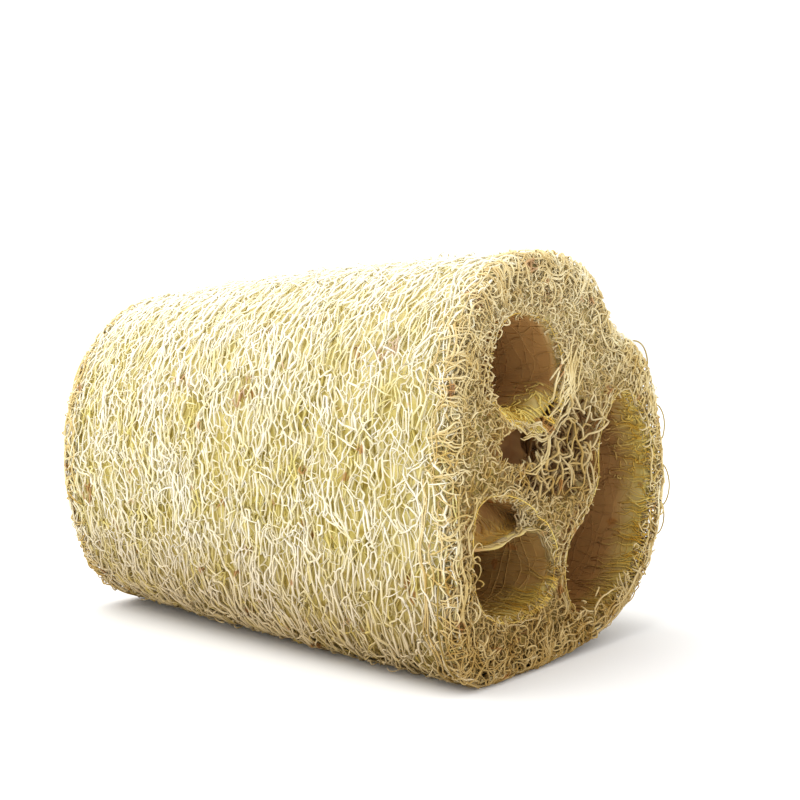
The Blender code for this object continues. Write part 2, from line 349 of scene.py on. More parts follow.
def net_of(points):
    """Return the joints and links of the net whose cells lie round the points."""
    laid = geometry.delaunay_2d_cdt([Vector(p) for p in points], [], [], 0, 1e-9)
    corners = np.array([v[:] for v in laid[0]])
    faces = np.array([face for face in laid[2] if len(face) == 3])
    joints = corners[faces].mean(axis=1)
    sides = np.sort(np.concatenate((faces[:, (0, 1)], faces[:, (1, 2)], faces[:, (2, 0)])), axis=1)
    owner = np.tile(np.arange(len(faces)), 3)
    order = np.lexsort((sides[:, 1], sides[:, 0]))
    sides, owner = sides[order], owner[order]
    shared = np.flatnonzero((sides[1:] == sides[:-1]).all(axis=1))
    return joints, join(owner[shared], owner[shared + 1])


def chains_of(joints, links):
    """Return the net's links joined into strands that run as straight as they can through its joints."""
    meeting = [[] for _ in joints]
    for index, link in enumerate(links):
        for joint in link:
            meeting[joint].append(index)
    onward = {}
    for joint, indices in enumerate(meeting):
        if len(indices) > 1:
            ways = unit(joints[links[indices].sum(axis=1) - joint] - joints[joint])
            _, i, j = min((ways[i] @ ways[j], i, j) for i in range(len(ways)) for j in range(i))
            onward[joint, indices[i]] = indices[j]
            onward[joint, indices[j]] = indices[i]
    used = set()

    def follow(index, joint):
        chain = [joint]
        while index is not None and index not in used:
            used.add(index)
            joint = links[index].sum() - joint
            chain.append(joint)
            index = onward.get((joint, index))
        return chain

    starts = [(k, joint) for k, link in enumerate(links) for joint in link if (joint, k) not in onward]
    starts += [(k, link[0]) for k, link in enumerate(links)]
    return [follow(k, joint) for k, joint in starts if k not in used]


def smooth_strands(rows, chains, step, spans):
    """Return the strands' points and their counts, on smooth curves through the chains' joints.

    rows holds a row for each joint, and its first columns, spans of them, give the length that step divides.
    """
    rows = rows[np.concatenate(chains)]
    is_last = np.isin(np.arange(len(rows)), np.cumsum([len(chain) for chain in chains]) - 1)
    is_first = np.roll(is_last, 1)
    here = np.flatnonzero(~is_last)
    ends = is_last[here + 1]
    a, b, c, d = (rows[k] for k in (here - ~is_first[here], here, here + 1, here + 1 + ~ends))
    parts = np.maximum(1, np.rint(np.linalg.norm((c - b)[:, :spans], axis=1) / step)).astype(int)
    stops = np.cumsum(parts + ends)
    link = np.repeat(np.arange(len(parts)), parts + ends)
    t = (np.arange(len(link)) - (stops - parts - ends)[link]) / parts[link]
    return spline(*(rows[link] for rows in (a, b, c, d)), t[:, None]), np.diff(stops[ends], prepend=0)


def facing(surface, rows):
    """Return the surface's unit normals at rows of (across, along, depth), out of the material."""
    steps = 0.05 * np.eye(3)
    across, onward, inward = (surface(*(rows + step).T) - surface(*(rows - step).T) for step in steps)
    normal = np.cross(across, onward)
    return unit(-normal * np.sign((normal * inward).sum(axis=1, keepdims=True)))


class Piece:
    """Closed three-sided tubes gathered for one mesh."""

    def __init__(self):
        self.verts, self.tone, self.deep, self.faces, self.charts = [], [], [], [], []
        self.count = self.cells = 0

    def add(self, points, up, counts, draw, radii, tones, deep, taper=0.6):
        """Add strands as tubes, each with a count of points. up gives the direction up at each point.

        Each strand's radius is drawn from radii, a radius with its least and greatest share.
        """
        radius = radii[0] * draw.uniform(*radii[1:], len(counts))
        tone = draw.uniform(*tones, len(counts))
        here = np.arange(len(points))
        strand = np.repeat(np.arange(len(counts)), counts)
        starts = np.cumsum(counts) - counts
        stops = starts + counts - 1
        is_first, is_last = np.isin(here, starts), np.isin(here, stops)
        tangent = unit(points[here + ~is_last] - points[here - ~is_first])
        side = unit(np.cross(tangent, up))
        lift = np.cross(side, tangent)
        width = np.where(is_first | is_last, taper, 1.0) * radius[strand]
        turns = tau * np.arange(3)[:, None] / 3
        ring = lift[:, None] * np.cos(turns) + side[:, None] * np.sin(turns)
        verts = (points[:, None] + ring * width[:, None, None]).reshape(-1, 3)
        verts[:, 2] = np.maximum(verts[:, 2], 0)
        self.verts.append(verts)
        self.tone.append(np.repeat(tone[strand], 3))
        self.deep.append(np.repeat(np.broadcast_to(deep, len(points)), 3))
        first = self.count + 3 * here[~is_last]
        for k in range(3):
            after = (k + 1) % 3
            self.add_faces(join(first + k, first + 3 + k, first + 3 + after, first + after), k, 3)
        for rows, corners in ((starts, (0, 1, 2)), (stops, (2, 1, 0))):
            self.add_faces(self.count + 3 * rows[:, None] + corners)
        self.count += len(verts)

    def add_faces(self, corners, band=0, bands=1):
        """Add faces, each on a band of a cell of its own in the map."""
        cells = self.cells + np.arange(len(corners))
        self.faces.append(corners)
        self.charts.append(join(cells, band, bands))
        if band == bands - 1:
            self.cells += len(cells)

    def lay(self, surface, up, places, draw, radii, tones, deep, taper=0.6):
        """Add strands over a surface, from where they run across, along and under it.

        up can be a function of the surface and the rows of places, and deep one of their first two columns.
        """
        places = join(*places)
        counts = np.full(len(places), places.shape[1])
        rows = places.reshape(-1, 3)
        up = up(surface, rows) if callable(up) else up
        deep = deep(*rows[:, :2].T) if callable(deep) else deep
        self.add(surface(*rows.T), up, counts, draw, radii, tones, deep, taper)

    def make(self, name, material):
        """Make the piece's object, with a map on which every face has a small rectangle."""
        mesh = bpy.data.meshes.new(name)
        corners = np.concatenate([faces.ravel() for faces in self.faces])
        sizes = np.concatenate([np.full(len(faces), faces.shape[1]) for faces in self.faces])
        starts = np.cumsum(sizes) - sizes
        mesh.vertices.add(self.count)
        mesh.vertices.foreach_set("co", (np.concatenate(self.verts) * MM).astype(np.float32).ravel())
        mesh.loops.add(len(corners))
        mesh.loops.foreach_set("vertex_index", corners.astype(np.int32))
        mesh.polygons.add(len(sizes))
        mesh.polygons.foreach_set("loop_start", starts.astype(np.int32))
        mesh.update(calc_edges=True)
        finish_piece(name, mesh, material, np.concatenate(self.tone), np.concatenate(self.deep))
        cell, band, bands = np.concatenate(self.charts).T
        columns = ceil(sqrt(self.cells))
        low = join(cell % columns, cell // columns + band / bands) / columns
        size = join(1, 1 / bands) / columns
        places = np.array(((0.1, 0.1), (0.9, 0.1), (0.9, 0.9), (0.1, 0.9)))
        corner = np.arange(len(corners)) - np.repeat(starts, sizes)
        uv = np.repeat(low, sizes, axis=0) + np.repeat(size, sizes, axis=0) * places[corner]
        mesh.uv_layers.new(name="OFBake").uv.foreach_set("vector", uv.astype(np.float32).ravel())


def finish_piece(name, mesh, material, tone, deep):
    """Make a mesh a piece of the sponge, riding on the body and standing for its node."""
    mesh.shade_smooth()
    for label, values in (("tone", tone), ("deep", deep)):
        mesh.attributes.new(label, "FLOAT", "POINT").data.foreach_set("value", np.array(values, np.float32))
    mesh.materials.append(material)
    piece = bpy.data.objects.new(name, mesh)
    bpy.context.scene.collection.objects.link(piece)
    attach(piece, BODY)
    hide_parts(NODE)


# The bed of deep fibre

BED_STEP = 1.3
BED_END_DEPTH = 2.8
BED_WALL_DEPTH = 0.45
BED_SKIN_DEPTH = (0.8, 2.2)
BED_THICKNESS = 1.2
BED_ROUGHNESS = {"skin": 0.35, "wall": 0.12}
STREAK_SHARE = 0.25

# The thin sheet that parts a blind pocket from the top of the lower chamber, at the wide end: its outline as
# (y, z), its edges' depths, how much deeper its left side starts, how far it rises and half its thickness
SHEET = ((-30.4, 23.6), (-26.9, 24.2), (-24.1, 24.1), (-21.3, 24.1), (-18.7, 24.4), (-16.1, 25.1),
         (-13.1, 25.8), (-10.1, 26.1), (-7.3, 26.0), (-3.8, 25.0))
SHEET_DEPTHS = (2.2, 17)
SHEET_LAG = 5.0
SHEET_RISE = 10.0
SHEET_HALF = 0.3

# How far behind a chamber's mouth the painted shade on its walls grows full: in general, and over the turns
# where light reaches in and painted light keeps them pale further in
WALL_SHADING = 4.0
LIT_SHADING = 15.0
LIT_TURNS = {"upper": (0.36, 0.7), "lower": (0.3, 0.66), "side": (0.42, 0.91)}

# How dark the painted shade on each chamber's walls is well inside
PAINTED_WALL_SHADES = {"upper": 1.0, "lower": 0.85, "side": 1.3}

# How thick the body is round the wide end, between its skin and the nearest chamber
WIDE_END = skin_outline(np.arange(CURVE_STEPS) / CURVE_STEPS, 1)
THICKNESSES = np.min([gap_to(WIDE_END, hole) for hole in CHAMBER_ENDS[1].values()], axis=0)[:, None]


def bed_depth(across):
    """Return how deep the bed lies under the skin: less where a chamber is close behind it."""
    return np.clip(round_curve(THICKNESSES, across / SKIN_GIRTH)[:, 0] - BED_THICKNESS, *BED_SKIN_DEPTH)


def is_lit(name, across):
    """Return 1 on the stretch of a chamber's wall where light reaches in and painted light holds off the
    painted shade, falling to 0 round it.
    """
    first, last = LIT_TURNS[name]
    gap = np.abs((across / GIRTHS[name]) % 1.0 - (first + last) / 2) - (last - first) / 2
    return smooth(-gap / 0.08)


def sheet_surface(across, along, depth):
    """Return points over the parting sheet. across is 0 to 1 over its outline, and depth is below it."""
    y, z = open_curve(SHEET, across).T
    z = z + SHEET_RISE * smooth((LENGTH - along - 4.5) / (SHEET_DEPTHS[1] - 5))
    along = along - SHEET_LAG * np.clip(1 - across / 0.5, 0, 1) * (along / LENGTH) ** 8
    station = along / LENGTH
    return body_points(station, *tapered(y, z - depth, station))


def painted_sheet_shade(across, along):
    """Return how dark the painted shade on the parting sheet is: pale near the top of its front edge, and
    brown elsewhere.
    """
    inner = smooth((LENGTH - SHEET_DEPTHS[0] - along) / 7)
    return np.maximum(0.3 + 0.7 * inner, 1 - smooth((across - 0.2) / 0.3))


def painted_wall_shade(name, across, along):
    """Return how dark the painted shade on a chamber's wall is, 0 at its mouths and 1 well inside."""
    behind = np.minimum(along, LENGTH - along)
    reach = WALL_SHADING + (LIT_SHADING - WALL_SHADING) * is_lit(name, across)
    return PAINTED_WALL_SHADES[name] * smooth(behind / reach)


def mottle(points, size, seed):
    """Return tones of 0 to 1 in smooth patches of about the given size."""
    return 0.5 + 0.5 * ripple(points, size, seed)


class Bed:
    """Points and faces gathered for the bed. deep says how dark each point is, as painted shade in the cut
    ends' hollows and the chambers.
    """

    def __init__(self):
        self.points, self.deep, self.tone, self.faces = [], [], [], []

    def add_points(self, points, deep, tone=None):
        """Add points and return their numbers. Unless given, tone is mottled."""
        numbers = len(self.points) + np.arange(points.size // 3).reshape(points.shape[:-1])
        self.points.extend(points.reshape(-1, 3))
        self.deep.extend(np.broadcast_to(deep, numbers.shape).ravel())
        self.tone.extend((mottle(points, 2.6, 77) if tone is None else tone).ravel())
        return numbers

    def add_grid(self, grid):
        """Add a face between each four neighbours in a grid of points' numbers."""
        quads = join(grid[:-1, :-1], grid[1:, :-1], grid[1:, 1:], grid[:-1, 1:])
        self.faces.extend(quads.reshape(-1, 4).tolist())

    def add_strip(self, surface, girth, depth_of, deep_of, kind, seed):
        """Add a strip under a surface, from end to end, and return its points' numbers."""
        columns = round(girth / BED_STEP)
        length = np.linspace(BED_END_DEPTH, LENGTH - BED_END_DEPTH, round(LENGTH / BED_STEP))
        across = (np.arange(columns) / columns * girth)[:, None]
        rows = join(across, length, depth_of(across)).reshape(-1, 3)
        grid = surface(*rows.T).reshape(columns, len(length), 3)
        shift = BED_ROUGHNESS[kind] * (0.6 * ripple(grid, 3.0, seed) + 0.4 * ripple(grid, 1.6, seed + 1))
        shift[:, (0, -1)] = 0
        streaks = mottle(rows[:, :2] * (1, STREAK_SHARE), 3, seed + 2) if kind == "wall" else None
        numbers = self.add_points(
            grid + facing(surface, rows).reshape(grid.shape) * shift[..., None],
            deep_of(*rows[:, :2].T).reshape(shift.shape), streaks)
        self.add_grid(np.append(numbers, numbers[:1], axis=0))
        return numbers

    def add_end(self, rims, end, draw):
        """Close the bed behind a cut end, between its strips' rims, with deep pockets in the core."""
        planes = [(np.array([self.points[k] for k in rim]) - CENTRING)[:, 1:] for rim in rims]
        skin, *holes = planes
        low, high = skin.min(axis=0), skin.max(axis=0)
        row, column = np.mgrid[0:(high - low)[1] // BED_STEP, 0:(high - low)[0] // BED_STEP]
        points = join(column, row).reshape(-1, 2) + draw.uniform(-0.3, 0.3, (row.size, 2))
        points = low + points * BED_STEP
        points = points[between(points, skin, holes, 0.6 * BED_STEP)]
        hollow = CORE_DEPTH * in_core(points) * np.clip(0.7 + 0.4 * ripple(points, 7, 31 + end), 0.4, 1)
        # Painted shade: the bed darkens with the depth of the core's hollow, and inside the pocket
        dark = np.clip(0.2 + hollow / 2.6, 0, 2)
        if end:
            pocket = inside(points, POCKET) * smooth(gap_to(points, POCKET) / POCKET_RIM)
            hollow = np.maximum(hollow, POCKET_DEPTH * pocket)
            dark = dark + (0.7 - dark) * pocket
        depth = BED_END_DEPTH + hollow + 0.5 * ripple(points, 3, 41 + end)
        numbers = np.concatenate([*rims, self.add_points(end_surface(end, *points.T, depth), dark)])
        flat = np.concatenate((*planes, points))
        edges = []
        for plane in planes:
            first = len(edges)
            edges += [(first + k, first + (k + 1) % len(plane)) for k in range(len(plane))]
        laid = geometry.delaunay_2d_cdt([Vector(p) for p in flat], edges, [], 0, 1e-9)
        triangles = np.array([[laid[3][k][0] for k in face] for face in laid[2]])
        held = between(flat[triangles].mean(axis=1), skin, holes)
        self.faces.extend(numbers[triangles[held]].tolist())

    def add_sheet(self):
        """Add the parting sheet as a thin closed body."""
        columns = 28
        across = np.linspace(0, 1, columns)[:, None]
        rows = join(across, LENGTH - np.arange(*SHEET_DEPTHS, BED_STEP)).reshape(-1, 2)
        rough = 0.25 * ripple(sheet_surface(*rows.T, 0), 4, 301)
        shade = painted_sheet_shade(*rows.T)
        sides = []
        for half in (-SHEET_HALF, SHEET_HALF):
            grid = self.add_points(sheet_surface(*rows.T, rough + half), shade).reshape(columns, -1)
            self.add_grid(grid)
            sides.append(grid)
        border = join(*(np.concatenate((g[:-1, 0], g[-1, :-1], g[:0:-1, -1], g[0, :0:-1])) for g in sides))
        self.add_grid(np.append(border, border[:1], axis=0))

    def make(self, name, material):
        """Make the bed's object."""
        bm = bmesh.new()
        verts = [bm.verts.new(point * MM) for point in self.points]
        for face in self.faces:
            bm.faces.new([verts[k] for k in face])
        bmesh.ops.recalc_face_normals(bm, faces=bm.faces)
        mesh = bpy.data.meshes.new(name)
        bm.to_mesh(mesh)
        bm.free()
        finish_piece(name, mesh, material, self.tone, self.deep)


def make_bed(material):
    """Make the bed: one closed body just behind the nets, with the same chambers."""
    draw = default_rng(3)
    bed = Bed()
    strips = [bed.add_strip(skin_surface, SKIN_GIRTH, bed_depth, lambda *rows: 0 * rows[0], "skin", 51)]
    for seed, name in enumerate(CHAMBERS):
        strips.append(bed.add_strip(
            partial(chamber_surface, name), GIRTHS[name], lambda across: BED_WALL_DEPTH,
            partial(painted_wall_shade, name), "wall", 60 + seed))
    for end in (0, 1):
        bed.add_end([numbers[:, -end] for numbers in strips], end, draw)
    bed.add_sheet()
    bed.make("deep_fibre_bed", material)


# Strands on the skin, the ends and the chamber walls: how many there are, and the share of a net's links kept

NET_SHARES = {"skin": 0.9, "end": 0.95}
LOOSE_FIBRES = 700
FUZZ = 420
TANGLE = 240
BUNDLE = 22
SHEET_FIBRES = 200
ROUND_RIM, OVER_RIM, CURLS_ON_RIM = 90, 230, 380

# The skin's layers of net: cell, depth, relief, strand radius, step along a strand, seed and darkness, which
# grows with depth, partly as painted shade and partly as the deeper fibre's own tone
SKIN_LAYERS = {
    "skin_net_outer": ((2.5, 1.15), 0.15, 0.26, 0.2, 1.9, 11, 0.0),
    "skin_net_middle": ((3.6, 1.3), 0.85, 0.25, 0.22, 1.9, 12, 0.25),
    "skin_net_inner": ((4.8, 1.6), 1.5, 0.25, 0.25, 2.1, 13, 0.6),
}

# Hairs that loop off the edge of the wide end: two angles in degrees, distance from the end and height
EDGE_HAIRS = (
    (13, 1, 0.5, 2.3),
    (-6, -19, 0.3, 3.2),
    (-17, -27, 0.8, 2.3),
    (40, 26, 1.0, 1.8),
    (205, 230, 2.5, 1.0),
)

# A cut end's layers of net, and the web's coarser ones: cell, depth, strand radius and darkness, which grows
# with depth as painted shade, darkest in the web's hollow
END_LAYERS = (
    (1.2, 0.35, 0.155, 0.0),
    (1.55, 1.1, 0.185, 0.12),
    (1.95, 1.9, 0.22, 0.35),
)
WEB_LAYERS = (
    (3.1, 0.4, 0.24, 0.1),
    (3.5, 2.3, 0.27, 0.7),
    (3.9, 4.2, 0.3, 1.2),
    (4.3, 6.1, 0.33, 1.7),
)

# The front edge of the parting sheet, and the strip of web above its right end, as (y, z)
ARCH = ((-22.6, 24.2), (-21.3, 24.3), (-18.7, 24.6), (-16.1, 25.3), (-13.1, 26.0), (-10.1, 26.3),
        (-7.3, 26.0), (-4.2, 24.6), (-2.2, 22.0), (-1.2, 18.6))
ARCH_WEB = np.array(((-13.6, 25.9), (-10.1, 26.3), (-7.3, 26.0), (-4.4, 24.7), (-2.2, 22.4), (-2.6, 25.6),
                     (-7.6, 29.8), (-14.6, 33.0), (-12.6, 29.5)))
ARCH_DEPTH = 2.2

# Where round a chamber's wall short fibres curl near its mouths, and the curls' largest radius, how much less
# painted shade they take than the wall, as painted light near the mouth, and their least tone
CURL_TURNS = {"upper": (0.36, 0.7), "side": (0.7, 0.95)}
CURL_REACH = {"upper": (2.4, 0.6, 0.6), "side": (1.4, 0.25, 0.0)}

# The radii of the fibres on the chamber walls
WALL_FIBRES = {"upper": 0.07, "lower": 0.11, "side": 0.07}


def for_each(draw, count):
    """Return a function that draws a value between two limits for each strand."""
    return lambda low, high: draw.uniform(low, high, (count, 1))


def within(along, margin):
    """Return places along the length, kept the margin from both ends."""
    return np.clip(along, margin, LENGTH - margin)


def skin_net(piece, cell, depth, relief, radius, step, seed, deep):
    """Add one layer of the skin's net."""
    draw = default_rng(seed)
    columns = round(SKIN_GIRTH / cell[0])
    rows = round(LENGTH / cell[1])
    joints, links = net_of(brick_points(columns, rows, draw, True))
    middle = joints[links].mean(axis=1)
    kept = ((middle >= (0, -0.4)) & (middle < (columns, rows - 0.4))).all(axis=1)
    kept &= draw.random(len(links)) < NET_SHARES["skin"]
    joints = joints * (SKIN_GIRTH / columns, LENGTH / rows)
    chains = chains_of(joints, links[kept])
    place = skin_surface(*joints.T, 0.0)
    joints[:, 0] += 1.3 * ripple(place, 9, seed + 30)
    joints[:, 1] += 0.95 * ripple(place, 12, seed + 40) + 0.45 * ripple(place, 5, seed + 50)
    rows = join(*joints.T, draw.normal(0, relief, len(joints)))
    rows, counts = smooth_strands(rows, chains, step, 2)
    rows[:, 1] = within(rows[:, 1] + 0.2 * ripple(rows[:, :2], 3, seed + 1), 0.1)
    rows[:, 2] = (depth + rows[:, 2]) * (bed_depth(rows[:, 0]) / BED_SKIN_DEPTH[1]) + 0.25
    up = facing(skin_surface, rows)
    piece.add(skin_surface(*rows.T), up, counts, draw, (radius, 0.55, 1.5), (0, 1), deep)


def loose_fibres(piece, seed):
    """Add long thin fibres that run askew over the skin's net."""
    draw = default_rng(seed)
    each = for_each(draw, LOOSE_FIBRES)
    t = np.linspace(-0.5, 0.5, 8)
    length = each(3, 9)
    lean = np.radians(each(5, 65)) * draw.choice((-1, 1), (LOOSE_FIBRES, 1))
    half = np.abs(np.sin(lean)) * length / 2
    middle = half + 1 + each(0, 1) * (LENGTH - 2 * half - 2)
    across = each(0, SKIN_GIRTH) + np.cos(lean) * length * t
    along = middle + np.sin(lean) * length * t
    bend = join(across, along)
    across = across + 0.5 * ripple(bend, 7, seed + 1)
    along = within(along + 0.5 * ripple(bend, 5, seed + 2), 0.3)
    depth = 0.55 - 0.5 * np.cos(pi * t) + 0.15 * ripple(bend, 3, seed + 3)
    piece.lay(skin_surface, facing, (across, along, depth), draw, (0.15, 0.7, 1.4), (0.3, 1), 0.0)


def fuzz(piece, seed):
    """Add short fibre ends that stand off the skin."""
    draw = default_rng(seed)
    each = for_each(draw, FUZZ)
    t = np.linspace(0, 1, 6)
    length = each(2, 5)
    turn = each(0, tau)
    across = each(0, SKIN_GIRTH) + np.cos(turn) * length * t
    along = within(each(0, 1) ** 0.8 * LENGTH + np.sin(turn) * length * t, 0.3)
    depth = 0.4 - each(0.5, 1.5) * np.sin(t * each(1.6, 3.0))
    places = (across, along, depth)
    piece.lay(skin_surface, facing, places, draw, (0.13, 0.7, 1.4), (0.3, 1), 0.0, taper=0.3)


def edge_hairs(piece):
    """Add the few long hairs that loop off the edge of the wide end."""
    t = np.linspace(0, 1, 12)[None]
    for first, last, from_end, height in EDGE_HAIRS:
        across = np.radians(first + (last - first) * t) / tau * SKIN_GIRTH
        places = (across, LENGTH - from_end, 0.3 - height * np.sin(pi * t) ** 0.7)
        piece.lay(skin_surface, facing, places, default_rng(0), (0.17, 1, 1), (0, 0), 2.0)


def make_skin(material):
    """Make the skin's layers of net, a piece each, and its loose fibres."""
    for name, layer in SKIN_LAYERS.items():
        piece = Piece()
        skin_net(piece, *layer)
        piece.make(name, material)
    piece = Piece()
    loose_fibres(piece, 15)
    fuzz(piece, 16)
    edge_hairs(piece)
    piece.make("loose_fibres", material)


def lay_net(piece, end, cell, depth, radius, deep, relief, step, seed, held):
    """Add a net behind a cut end, where held says, at about the given depth."""
    draw = default_rng(seed)
    low, high = SKIN_ENDS[end].min(axis=0), SKIN_ENDS[end].max(axis=0)
    joints, links = net_of(brick_points(*(ceil(n) for n in (high - low) / cell), draw, False))
    joints = low + joints * cell
    joints += 0.35 * cell * drift(joints, 4 * cell, seed + 50, 10)
    kept = held(joints)[links].all(axis=1) & held(joints[links].mean(axis=1))
    kept &= draw.random(len(links)) < NET_SHARES["end"]
    rows = join(*joints.T, depth + draw.normal(0, relief, len(joints)))
    rows, counts = smooth_strands(rows, chains_of(joints, links[kept]), step, 3)
    up = (2 * end - 1, 0, 0)
    piece.add(end_surface(end, *rows.T), up, counts, draw, (radius, 0.6, 1.4), (0, 1), deep)


def lay_on_end(piece, end, plane, depth, draw, radii, tones, deep):
    """Add strands behind a cut end. plane holds (y, z) for each strand's points."""
    places = (*np.moveaxis(plane, -1, 0), depth)
    piece.lay(partial(end_surface, end), (2 * end - 1, 0, 0), places, draw, radii, tones, deep)


def core_tangle(piece, end, held, seed):
    """Add wavy strands through the web between the chambers."""
    draw = default_rng(seed)
    t = np.linspace(-0.5, 0.5, 10)
    middle = CORE_MIDDLE + draw.uniform(-1, 1, (TANGLE, 2)) * CORE_REACH
    turn = draw.normal(0, 0.7, (TANGLE, 1)) + draw.normal(0, 1.0, (TANGLE, 1)) * t
    reach = draw.uniform(2.5, 8, (TANGLE, 1)) * t
    plane = middle[:, None] + join(np.cos(turn) * reach, np.sin(turn) * reach)
    plane = plane + 0.5 * drift(plane, 5, seed + 10)
    plane = plane[held(plane.reshape(-1, 2)).reshape(TANGLE, -1).all(axis=1)]
    each = for_each(draw, len(plane))
    level = each(0.2, 4)
    depth = level + each(-0.8, 0.8) * t
    # Deeper strands are darker, as painted shade
    lay_on_end(piece, end, plane, depth, draw, (0.24, 0.6, 1.4), (0.2, 1), np.repeat(level / 3, len(t)))


def rim_fibres(piece, end, seed):
    """Add the fibres of a cut end's rim: some run round it, some cross it, and some curl on it."""
    draw = default_rng(seed)

    def up(surface, rows):
        return surface(*(rows - (0, 0, 0.1)).T) - surface(*rows.T)

    def add(across, inset, depth, radius):
        places = (across, inset, depth)
        piece.lay(partial(rim_surface, end), up, places, draw, (radius, 0.7, 1.4), (0.1, 1), 0.0)

    each = for_each(draw, ROUND_RIM)
    t = np.linspace(-0.5, 0.5, 16)
    across = each(0, SKIN_GIRTH) + each(8, 26) * t
    inset = each(-5.5, 6.5) + 0 * t
    inset = inset + 0.8 * ripple(join(across, inset), 8, seed + 1)
    add(across, inset, 0.45 - 0.45 * np.cos(pi * t), 0.19)

    each = for_each(draw, OVER_RIM)
    t = np.linspace(0, 1, 9)
    low, high = -each(2, 6), each(1.5, 8)
    inset = low + (high - low) * t
    across = each(0, SKIN_GIRTH) + each(-4, 4) * t
    across = across + 0.6 * ripple(join(across, inset), 5, seed + 2)
    add(across, inset, 0.5 - 0.5 * np.sin(pi * t), 0.17)

    each = for_each(draw, CURLS_ON_RIM)
    t = np.linspace(0, 1, 8)
    swing = each(0, tau) + each(1.2, 3.2) * t
    size = each(0.8, 2.2)
    across = each(0, SKIN_GIRTH) + size * np.cos(swing)
    inset = each(-2.5, 8) + size * each(0.6, 1.3) * np.sin(swing)
    add(across, inset, 0.45 - each(0.3, 1.0) * np.sin(pi * t), 0.155)


def mouth_fibres(piece, end, outline, count, seed):
    """Add the fibres round a chamber's mouth, and the fringe of short ends that reaches over it."""
    draw = default_rng(seed)
    away = outward(outline)
    girth = girth_of(outline)

    each = for_each(draw, count)
    t = np.linspace(-0.5, 0.5, 12)
    turn = (each(0, girth) + each(7, 22) * t) / girth
    edge = round_curve(outline, turn)
    inset = each(0.5, 3.0) + 0.7 * ripple(edge, 5, seed + 1)
    depth = 0.6 - 0.5 * np.cos(pi * t)
    plane = edge + round_curve(away, turn) * inset[..., None]
    lay_on_end(piece, end, plane, depth, draw, (0.17, 0.7, 1.5), (0.2, 1), 0.15)

    each = for_each(draw, round(girth / 0.8))
    t = np.linspace(0, 1, 5)
    turn = (each(0, girth) + each(-1.6, 1.6) * t) / girth
    reach = 1.4 - each(1.2, 2.4) * t
    depth = each(0.1, 1.2) + each(-0.2, 1.5) * t
    plane = round_curve(outline, turn) + round_curve(away, turn) * reach[..., None]
    lay_on_end(piece, end, plane, depth, draw, (0.15, 0.7, 1.4), (0, 1), 0.25)


def arch(piece):
    """Add the arched rim inside the lower chamber's mouth, with the web above it."""
    draw = default_rng(7)
    t = np.linspace(0, 1, 30)
    curve = open_curve(ARCH, t)
    for _ in range(2):
        curve[1:-1] = (curve[:-2] + 2 * curve[1:-1] + curve[2:]) / 4
    depth = ARCH_DEPTH * (1.0 - 0.6 * t) + SHEET_LAG * np.clip(0.3 - t, 0, 1)
    for k in range(7):
        plane = (curve + 0.25 * drift(curve, 5, 200 + 2 * k) + draw.uniform(-0.2, 0.2, 2))[None]
        behind = depth + 0.25 * k
        # Deeper strands are darker, as painted shade
        lay_on_end(piece, 1, plane, behind, draw, (0.16, 0.7, 1.2), (0.2, 0.8), 0.2 + 0.06 * k)
    for k in range(3):
        # Deeper layers of the web are darker, as painted shade
        layer = (1.1, ARCH_DEPTH + 0.5 * k, 0.26, 0.35 + 0.2 * k)
        lay_net(piece, 1, *layer, 0.25, 0.9, 220 + k, lambda points: inside(points, ARCH_WEB))


def bundle(piece):
    """Add the pale strands that lean over the right of the upper chamber's mouth."""
    draw = default_rng(17)
    t = np.linspace(0, 1, 12)[:, None]
    start, end = (
        join(draw.uniform(*y, BUNDLE), draw.uniform(*z, BUNDLE))[:, None]
        for y, z in (((-5, 4), (44.5, 53)), ((-0.5, 9), (53, 63))))
    plane = start + (end - start) * t
    plane = plane + 0.7 * drift(plane, 7, 18)
    depth = 0.5 - 0.7 * np.sin(pi * t[:, 0])
    lay_on_end(piece, 1, plane, depth, draw, (0.16, 0.7, 1.4), (0.5, 1), 0.0)


def make_ends(net_material, rim_material):
    """Make the nets of the two cut ends, and the fibres of their rims."""
    for end, label in ((1, "near"), (0, "far")):
        def held(points):
            return on_end(points, end, 0.25) & (in_core(points) < 0.35)

        def in_web(points):
            return on_end(points, end, 0.3) & (in_core(points) > 0.1)

        piece = Piece()
        for k, layer in enumerate(END_LAYERS):
            step = 0.9 if end else 1.1
            lay_net(piece, end, *layer, 0.35, step, 21 + k + 5 * end, held)
        for k, layer in enumerate(WEB_LAYERS):
            lay_net(piece, end, *layer, 0.7, 0.9, 81 + k + 7 * end, in_web)
        core_tangle(piece, end, in_web, 320 + end)
        piece.make(f"{label}_end_net", net_material)
        piece = Piece()
        rim_fibres(piece, end, 90 + end)
        for k, outline in enumerate(CHAMBER_ENDS[end].values()):
            mouth_fibres(piece, end, outline, 7 if k < 2 else 12, 95 + 10 * k + end)
        if end:
            mouth_fibres(piece, end, closed_curve(POCKET, 72), 3, 99)
            arch(piece)
            bundle(piece)
        piece.make(f"{label}_rim_fibres", rim_material)


def sheet_fibres(piece):
    """Add the fibres on the upper side of the parting sheet."""
    draw = default_rng(310)
    each = for_each(draw, SHEET_FIBRES)
    t = np.linspace(0, 1, 9)
    across = each(0.02, 0.98) + each(-0.1, 0.1) * t
    behind = SHEET_DEPTHS[0] + 8 * each(0, 1) ** 1.5 + each(2, 6) * t
    across = across + 0.02 * ripple(join(across * 30, behind), 5, 311)
    places = (np.clip(across, 0, 1), LENGTH - behind, -SHEET_HALF)
    piece.lay(
        sheet_surface, (0, 0, 1), places, draw, (0.15, 0.6, 1.4), (0, 1),
        lambda *rows: painted_sheet_shade(*rows) - 0.12)


